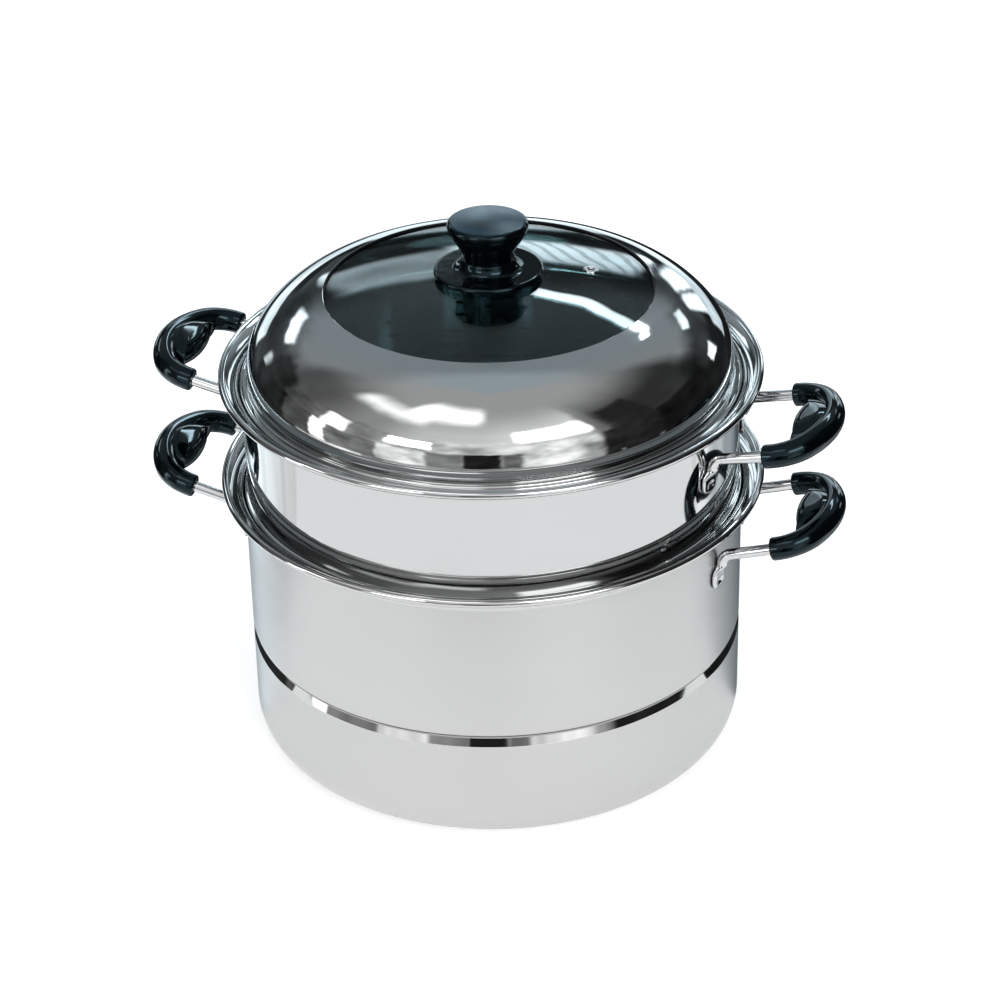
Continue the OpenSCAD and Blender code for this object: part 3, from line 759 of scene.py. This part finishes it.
def gripRing(degrees, shift, size, sides=40):
    a = math.radians(degrees)
    s, y = bendPoint(degrees)
    radius, grow = grip["thick"] / 2, math.cos(a) ** 2
    ring = []
    for i in range(sides):
        t = 2 * math.pi * i / sides
        wide = radius + (0 if math.cos(t) > 0 else grip["innerGrow"] * grow)
        out = wide * size * math.cos(t)
        high = (radius + grip["rise"] * grow) * size * math.sin(t)
        ring.append((s - shift + out * math.cos(a), y + out * math.sin(a), high))
    return ring


def leafOutline(count=96, rounds=8):
    # a round back and a nearly straight inner edge, with rounded tips
    innerS = grip["start"] + grip["leafStart"]
    centre, radius = innerS - grip["leafBack"], grip["leafR"]
    tip = math.degrees(math.acos(grip["leafBack"] * 0.5 / radius))
    half = count // 2
    outline = [(centre + radius * math.cos(math.radians(d)), radius * math.sin(math.radians(d)))
               for d in [tip - 2 * tip * i / half for i in range(half + 1)]]
    for i in range(1, half):
        y = outline[half][1] * (1 - 2 * i / half)
        outline.append((innerS + grip["leafEdge"] - math.sqrt(grip["leafEdge"] ** 2 - y * y), y))
    for _ in range(rounds):
        before = outline[-1:] + outline[:-1]
        after = outline[1:] + outline[:1]
        outline = [((a[0] + 2 * b[0] + c[0]) / 4, (a[1] + 2 * b[1] + c[1]) / 4)
                   for a, b, c in zip(before, outline, after)]
    return outline, (innerS + grip["leafMid"], 0)


def leafPiece(name, mount, side, rows=18):
    # two domed faces that fall off in a round edge
    outline, middle = leafOutline()
    count = len(outline)
    points, faces = [], []
    for face in (1, -1):
        base = len(points)
        points.append((*middle, face * grip["leafT"] / 2))
        for k in range(1, rows + 1):
            t = math.sin(math.pi / 2 * k / rows)
            high = max(grip["leafThin"],
                       grip["leafT"] / 2 * math.sqrt(1 - t ** grip["leafFull"]))
            points += [(middle[0] + (s - middle[0]) * t, middle[1] + (y - middle[1]) * t,
                        face * high) for s, y in outline]
        faces += [(base, base + 1 + i, base + 1 + (i + 1) % count) for i in range(count)]
        for k in range(rows - 1):
            a, b = base + 1 + k * count, base + 1 + (k + 1) * count
            faces += [(a + i, a + (i + 1) % count, b + (i + 1) % count, b + i)
                      for i in range(count)]
    top, low = 1 + (rows - 1) * count, 2 + (2 * rows - 1) * count
    faces += [(top + i, top + (i + 1) % count, low + (i + 1) % count, low + i)
              for i in range(count)]
    placed = [turned(mount, side, tilted(mount, *p)) for p in points]
    return meshPiece(name, placed, faces, blackResin, 50)


def gripPiece(name, mount, side):
    small = 1 - grip["chamfer"] / (grip["thick"] / 2)
    rest = grip["straight"]
    # each end's rounded edge: how far out, share of the full section
    edge = [(rest, 0.45), (rest, small - 0.04), (rest - 0.45, small + 0.09), (rest - 1.3, 1)]
    rings = [gripRing(-90, out, size) for out, size in edge]
    rings += [gripRing(-90 + 3 * i, 0, 1) for i in range(61)]
    rings += [gripRing(90, out, size) for out, size in edge[::-1]]
    placed = [[turned(mount, side, tilted(mount, *p)) for p in ring] for ring in rings]
    piece = loftPiece(name, placed, blackResin, 50)
    leaf = leafPiece(name + "_leaf", mount, side)
    join = piece.modifiers.new("leaf", "BOOLEAN")
    join.operation, join.object, join.solver = "UNION", leaf, "EXACT"
    bpy.context.view_layer.update()
    fused = bpy.data.meshes.new_from_object(
        piece.evaluated_get(bpy.context.evaluated_depsgraph_get()))
    piece.modifiers.clear()
    piece.data = fused
    bpy.data.objects.remove(leaf)
    for face in fused.polygons:
        face.use_smooth = True
    fused.set_sharp_from_angle(angle=math.radians(24))
    return piece


for body, mount in (("pot", potMount), ("tier", tierMount)):
    for hand, side in (("left", -1), ("right", 1)):
        dress(rodPiece(f"{body}_rod_{hand}", mount, side), body, "steel_rod",
              f"{body}_wire_{hand}")
        dress(gripPiece(f"{body}_handle_{hand}", mount, side), body, "phenolic_black",
              f"{body}_grip_{hand}")


print("small parts")

# these pieces keep the shape of the solids
kept = {"tier_plate": plateSteel, "knob_insert": insertBrass, "knob_screw": wireSteel,
        "knob_washer": wireSteel, "knob_pad_upper": padRubber, "knob_pad_lower": padRubber}
for name, material in kept.items():
    mesh = nodes[name].data
    if not mesh.materials:
        mesh.materials.append(material)
    for i in range(len(mesh.materials)):
        mesh.materials[i] = material


print("studio")

camera = {"distance": 1934.9, "elevation": 29.58, "turn": 14.7, "roll": -1.23,
          "aimZ": 156.9, "aimX": 4.05, "lens": 108, "sensor": 36}
studio = {"nearFloor": 620, "farFloor": 6000, "floorZ": -0.3, "floorTone": "#f4f4f4",
          "floorGlow": 0.38,
          # name, place and size in metres, power
          "lights": [("overheadSoft", (0, 0, 2.2), 2.6, 12.5),
                     ("frontSoft", (0.9, -1.7, 1.9), 1.2, 4.5)]}


def ringFloor(name, inner, outer, material, start=-180, end=180, mirrored=True):
    # a ring or a slice of one, azimuth from the camera's side
    steps = max(4, round((end - start) / 2.5))
    points, faces = [], []
    for i in range(steps + 1):
        a = math.radians(start + (end - start) * i / steps + camera["turn"] - 90)
        points += [(r * math.cos(a), r * math.sin(a), studio["floorZ"]) for r in (inner, outer)]
    for i in range(0, 2 * steps, 2):
        faces.append((i, i + 1, i + 3, i + 2) if inner else (0, i + 1, i + 3))
    floor = meshPiece(name, points, faces, material)
    floor.visible_glossy = mirrored


# white painted board, dead matt, with a little glow that holds it white
floorPaint = newSurface("studioFloorPale", {
    "Base Color": hexToLinear(studio["floorTone"]), "Roughness": 0.8,
    "Emission Color": (1, 1, 1, 1), "Emission Strength": studio["floorGlow"]})[0]
# mirrors see the near floor at the front and the room everywhere else
slices = [(-180, -88, False), (-88, 90, True), (90, 180, False)]
for number, (start, end, mirrored) in enumerate(slices):
    ringFloor(f"floor_near_{number}", 0, studio["nearFloor"], floorPaint, start, end, mirrored)
ringFloor("floor_far", studio["nearFloor"], studio["farFloor"], floorPaint, mirrored=False)


def softLight(name, place, size, power):
    data = bpy.data.lights.new(name, "AREA")
    data.shape, data.size, data.energy = "DISK", size, power
    light = bpy.data.objects.new(name, data)
    bpy.context.scene.collection.objects.link(light)
    light.location = place
    light.rotation_mode = "QUATERNION"
    light.rotation_quaternion = (-Vector(place)).to_track_quat("-Z", "Y")
    light.visible_glossy = light.visible_camera = False


for entry in studio["lights"]:
    softLight(*entry)

# The room that the steel mirrors: directions in degrees, azimuth from the
# camera's side (plus to its right), elevation over the horizon, and brightness.
room = {
    "walls": [(-180, 0.1), (-140, 0.1), (-100, 0.16), (-64, 0.42), (-30, 0.8), (-8, 0.85),
              (14, 1), (46, 1.1), (53, 0.3), (60, 0.06), (120, 0.06), (150, 0.1), (180, 0.1)],
    "patches": [
        # azimuth from, to, elevation from, to, softness, brightness
        (60, 180, -90, -14, 1, 1), (124, 180, -90, -14, 12, 0.5), (150, 180, -90, -14, 8, 0.1),
        (-180, -60, -90, -14, 1, 1.1), (-180, -156, -90, -14, 6, 0.3),
        (-156, -98, -26, -9, 2, 0.04), (100, 180, -26, -9, 2, 0.03),
        (-180, -107, -14, 10, 1, 0.03), (-107, -89, -16, 10, 2, 0.13), (-89, -80, -14, 10, 1, 2),
        (-80, -53, -14, 10, 1, 0.3), (-53, -30, -14, 10, 1.5, 1.1), (-30, -13, -14, 10, 1.5, 0.32),
        (-13, 4, -14, 10, 1, 0.03), (4, 14, -14, 10, 2, 0.25), (14, 41, -14, 10, 2, 1.1),
        (41, 57, -14, 10, 4, 0.5), (57, 180, -14, 10, 3, 0.03),
        (122, 180, 26, 62, 7, 0.36), (-180, -122, 26, 62, 7, 0.36),
        (-50, -28, 14, 26, 1, 5), (-92, -40, 50, 58, 5, 1.6), (-60, -8, 58, 70, 6, 2.6),
        (12, 49, 29, 46, 3, 4.5), (-84, -71, 10, 27, 2, 2.6),
        (-156, -137, 20, 26, 1.5, 1.9), (-135, -119, 4, 11, 1.5, 1.1),
        (150, 156, -2, 17, 1.5, 2), (158, 165, -2, 17, 1.5, 2),
        (127, 135, 4, 12, 1, 1.8), (141, 152, 23, 27, 1, 1.8),
        (82, 120, -22, 20, 3, 0.02), (61, 82, -22, 47, 2, 0.04), (51, 60, -20, 20, 2, 0.05),
        (-131, -111, -10, 26, 3, 0.05), (-160, -135, -10, 17, 3, 0.08),
        (-177, -166, 15, 25, 1.2, 1.5), (-180, -176.5, 11, 24, 0.8, 3),
        (-178, -168, 8, 13.5, 0.8, 0.1), (168, 180, 11, 20, 1, 2.2),
        (146, 180, -7, 3.4, 1, 1.2), (-180, -146, -7, 3.4, 1, 1.2),
    ],
    # a slanted strip light: azimuth from, to, elevation at its middle, slope, half width,
    # brightness
    "strip": (149, 178, 35.6, -0.38, 1.3, 8),
    # blinds: azimuth from, to, elevation from, to, slat gap, slat tone, share at full dark
    "blinds": (166, 180, 11, 20, 1.7, 0.5, 0.55),
    # elevations between which each comes in, brightness
    "ceiling": (38, 72, 0.5), "floorFar": (-9, -17, 0.42), "calmAbove": (24, 36),
    "sway": 1.6, "clutter": 0.45, "cameraWhite": 1, "evenLight": 0.35,
    # cold daylight: azimuths on either side between which it comes in, tint
    "daylight": (95, 160, (0.87, 1, 1.07, 1)),
}
cameraSide = math.radians(-90 + camera["turn"])


def buildRoom():
    world = bpy.data.worlds.new("room")
    bpy.context.scene.world = world
    world.use_nodes = True
    tree = world.node_tree
    tree.nodes.clear()
    ray = addNode(tree, "TexCoord").outputs["Generated"]
    sideways = addNode(tree, "VectorRotate", {"rotation_type": "Z_AXIS", "Angle": -cameraSide},
                       {"Vector": ray}).outputs[0]
    split = addNode(tree, "SeparateXYZ", links={0: sideways})
    azimuth = addNode(tree, "Math", {"operation": "ARCTAN2"},
                      {0: split.outputs[1], 1: split.outputs[0]})
    azimuth = addNode(tree, "Math", {"operation": "MULTIPLY", 1: 180 / math.pi},
                      {0: azimuth.outputs[0]}).outputs[0]
    rise = addNode(tree, "Math", {"operation": "ARCSINE"}, {0: split.outputs[2]})
    rise = addNode(tree, "Math", {"operation": "MULTIPLY", 1: 180 / math.pi},
                   {0: rise.outputs[0]}).outputs[0]
    # edges sway a few degrees, as things in a lived-in room do
    sway = addNode(tree, "TexNoise", {"Scale": 9, "Detail": 1}, {"Vector": sideways})
    swaySplit = addNode(tree, "SeparateColor", links={0: sway.outputs[1]})
    shifted = []
    for angle, channel in ((azimuth, 0), (rise, 1)):
        off = addNode(tree, "Math", {"operation": "SUBTRACT", 1: 0.5},
                      {0: swaySplit.outputs[channel]})
        shifted.append(addNode(tree, "Math", {"operation": "MULTIPLY_ADD", 1: room["sway"] * 2},
                               {0: off.outputs[0], 2: angle}).outputs[0])
    azimuth, rise = shifted

    def ease(value, low, high, start, end):
        return addNode(tree, "MapRange", {
            "interpolation_type": "SMOOTHSTEP", "From Min": low, "From Max": high,
            "To Min": start, "To Max": end}, {"Value": value}).outputs[0]

    def blend(share, first, second):
        settings, links = {}, {0: share}
        for key, value in ((2, first), (3, second)):
            if isinstance(value, (int, float)):
                settings[key] = value
            else:
                links[key] = value
        return addNode(tree, "Mix", settings, links).outputs[0]

    tone = room["walls"][0][1]
    for (before, _), (after, value) in zip(room["walls"], room["walls"][1:]):
        tone = blend(ease(azimuth, before, after, 0, 1), tone, value)
    for low, high, value in (room["ceiling"], room["floorFar"]):
        tone = blend(ease(rise, low, high, 0, 1), tone, value)
    for azFrom, azTo, elFrom, elTo, soft, value in room["patches"]:
        across = addNode(tree, "Math", {"operation": "MULTIPLY"}, {
            0: ease(azimuth, azFrom - soft, azFrom + soft, 0, 1),
            1: ease(azimuth, azTo - soft, azTo + soft, 1, 0)}).outputs[0]
        upward = addNode(tree, "Math", {"operation": "MULTIPLY"}, {
            0: ease(rise, elFrom - soft, elFrom + soft, 0, 1),
            1: ease(rise, elTo - soft, elTo + soft, 1, 0)}).outputs[0]
        share = addNode(tree, "Math", {"operation": "MULTIPLY"}, {0: across, 1: upward})
        tone = blend(share.outputs[0], tone, value)
    azFrom, azTo, middle, slope, half, value = room["strip"]
    offset = addNode(tree, "Math", {"operation": "MULTIPLY_ADD", 1: -slope,
                                    2: slope * (azFrom + azTo) / 2 - middle}, {0: azimuth})
    offset = addNode(tree, "Math", {"operation": "ADD"}, {0: offset.outputs[0], 1: rise})
    offset = addNode(tree, "Math", {"operation": "ABSOLUTE"}, {0: offset.outputs[0]}).outputs[0]
    along = addNode(tree, "Math", {"operation": "MULTIPLY"}, {
        0: ease(azimuth, azFrom - 1, azFrom + 1, 0, 1), 1: ease(azimuth, azTo - 1, azTo + 1, 1, 0)})
    share = addNode(tree, "Math", {"operation": "MULTIPLY"}, {
        0: along.outputs[0], 1: ease(offset, half * 0.7, half * 1.3, 1, 0)})
    tone = blend(share.outputs[0], tone, value)
    # thin dark slats across the back window
    azFrom, azTo, elFrom, elTo, gap, value, most = room["blinds"]
    slats = addNode(tree, "Math", {"operation": "MULTIPLY_ADD", 1: 0.5}, {0: rise, 2: azimuth})
    slats = addNode(tree, "Math", {"operation": "PINGPONG", 1: gap / 2}, {0: slats.outputs[0]})
    inside = addNode(tree, "Math", {"operation": "MULTIPLY"}, {
        0: ease(azimuth, azFrom - 1, azFrom + 1, 0, 1),
        1: ease(rise, elFrom - 1, elFrom + 1, 0, 1)})
    inside = addNode(tree, "Math", {"operation": "MULTIPLY"}, {
        0: inside.outputs[0], 1: ease(rise, elTo - 1, elTo + 1, 1, 0)})
    share = addNode(tree, "Math", {"operation": "MULTIPLY"}, {
        0: inside.outputs[0], 1: ease(slats.outputs[0], 0.1 * gap, 0.25 * gap, most, 0)})
    tone = blend(share.outputs[0], tone, value)
    clutter = addNode(tree, "TexNoise", {"Scale": 4, "Detail": 2}, {"Vector": sideways})
    clutter = addNode(tree, "MapRange", {"From Min": 0.3, "From Max": 0.7,
                                         "To Min": 1 - room["clutter"],
                                         "To Max": 1 + room["clutter"]},
                      {"Value": clutter.outputs[0]})
    # things stand along the walls, not on the ceiling
    busy = blend(ease(rise, *room["calmAbove"], 1, 0), 1, clutter.outputs[0])
    tone = addNode(tree, "Math", {"operation": "MULTIPLY"}, {0: tone, 1: busy}).outputs[0]
    path = addNode(tree, "LightPath")
    # matt surfaces get one even light, only mirrors see the room
    tone = blend(path.outputs["Is Diffuse Ray"], tone, room["evenLight"])
    seen = path.outputs["Is Camera Ray"]
    tone = blend(seen, tone, room["cameraWhite"])
    # daylight comes in cold from the far side of the room
    sideFrom, sideTo, tint = room["daylight"]
    turnedAway = addNode(tree, "Math", {"operation": "ABSOLUTE"}, {0: azimuth})
    warm = ease(turnedAway.outputs[0], sideFrom, sideTo, 1, 0)
    cold = addNode(tree, "Mix", {"data_type": "RGBA", 6: tint, 7: (1, 1, 1, 1)}, {0: warm})
    colour = addNode(tree, "Mix", {"data_type": "RGBA", 7: (1, 1, 1, 1)},
                     {0: seen, 6: cold.outputs[2]})
    light = addNode(tree, "Background", links={0: colour.outputs[2], 1: tone})
    output = tree.nodes.new("ShaderNodeOutputWorld")
    tree.links.new(light.outputs[0], output.inputs[0])


buildRoom()

elevation = math.radians(camera["elevation"])
reach = camera["distance"] * mm
turnZ = Matrix.Rotation(math.radians(camera["turn"]), 4, "Z")
lensData = bpy.data.cameras.new("camera")
lensData.lens, lensData.sensor_width = camera["lens"], camera["sensor"]
lensData.clip_start, lensData.clip_end = 0.05, 50
eye = bpy.data.objects.new("camera", lensData)
bpy.context.scene.collection.objects.link(eye)
stand = Vector((camera["aimX"] * mm, -reach * math.cos(elevation),
                camera["aimZ"] * mm + reach * math.sin(elevation)))
facing = Matrix.Rotation(math.pi / 2 - elevation, 4, "X")
rolled = Matrix.Rotation(math.radians(camera["roll"]), 4, "Z")
eye.matrix_world = turnZ @ Matrix.Translation(stand) @ facing @ rolled
bpy.context.scene.camera = eye
bpy.context.scene.view_settings.view_transform = "Standard"
bpy.context.scene.view_settings.look = "Medium High Contrast"
